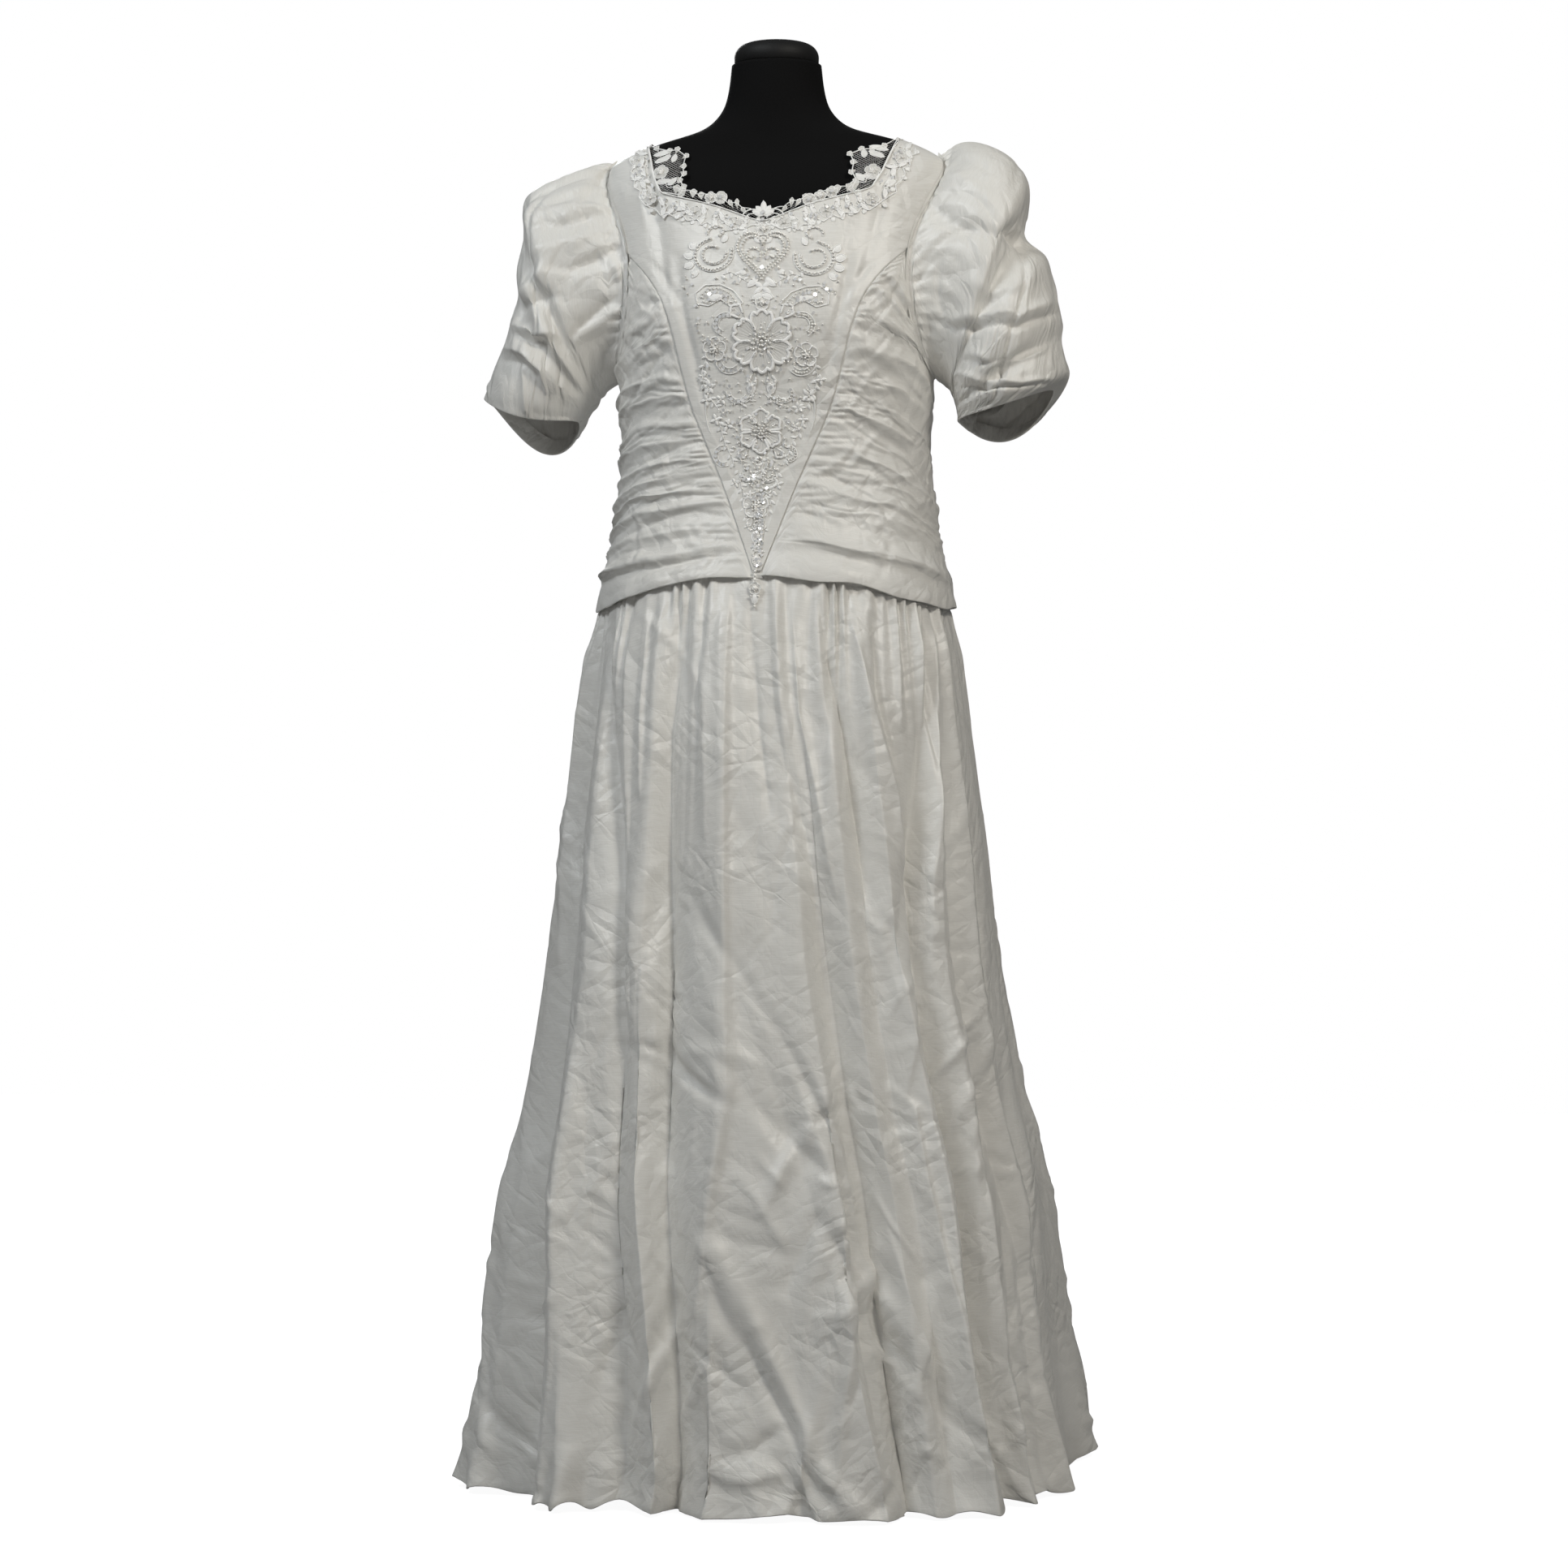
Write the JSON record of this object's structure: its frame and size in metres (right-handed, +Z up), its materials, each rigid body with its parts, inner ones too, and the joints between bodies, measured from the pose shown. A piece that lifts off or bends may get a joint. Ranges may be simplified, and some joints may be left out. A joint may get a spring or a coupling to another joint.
{
  "type": "wedding dress on a dress form",
  "caption": "Off-white satin wedding dress with puffed sleeves, ruched bodice, lace neckline and a full gathered skirt with a short train, on a black limbless dress form.",
  "frame": {"origin": "centre of the underside of the stand's round base, on the floor", "axes": "+Z up, -Y the way the dress faces, +X the wearer's left"},
  "size_m": [0.6398, 0.7597, 1.4913],
  "materials": {
    "satin": "off-white silk satin with slight slubs and crinkles",
    "lace": "off-white beaded lace and applique",
    "jersey": "matt black jersey",
    "cap": "black, slight sheen",
    "stand": "black powder coat"
  },
  "bodies": {
    "root": {"back_placket": "satin", "bodice_back_left": "satin", "bodice_back_right": "satin", "bodice_center_front": "satin", "bodice_side_front_left": "satin", "bodice_side_front_right": "satin", "button_01": "satin", "button_02": "satin", "button_03": "satin", "button_04": "satin", "button_05": "satin", "button_06": "satin", "button_07": "satin", "button_08": "satin", "button_09": "satin", "button_10": "satin", "button_11": "satin", "button_12": "satin", "dress_form_base": "stand", "dress_form_neck_cap": "cap", "dress_form_pole": "stand", "dress_form_torso": "jersey", "drop_low": "lace", "drop_tip": "lace", "drop_upper_left": "lace", "drop_upper_right": "lace", "flower_bust": "lace", "flower_low": "lace", "flower_middle": "lace", "flower_small_left": "lace", "flower_small_right": "lace", "heart_frame": "lace", "leaf_cross": "lace", "neck_lace": "lace", "scroll_top_left": "lace", "scroll_top_right": "lace", "scroll_wing_left": "lace", "scroll_wing_right": "lace", "skirt_back_left": "satin", "skirt_back_right": "satin", "skirt_front": "satin", "sleeve_left": "satin", "sleeve_right": "satin", "sprig_left": "lace", "sprig_right": "lace"}
  },
  "joints": []
}
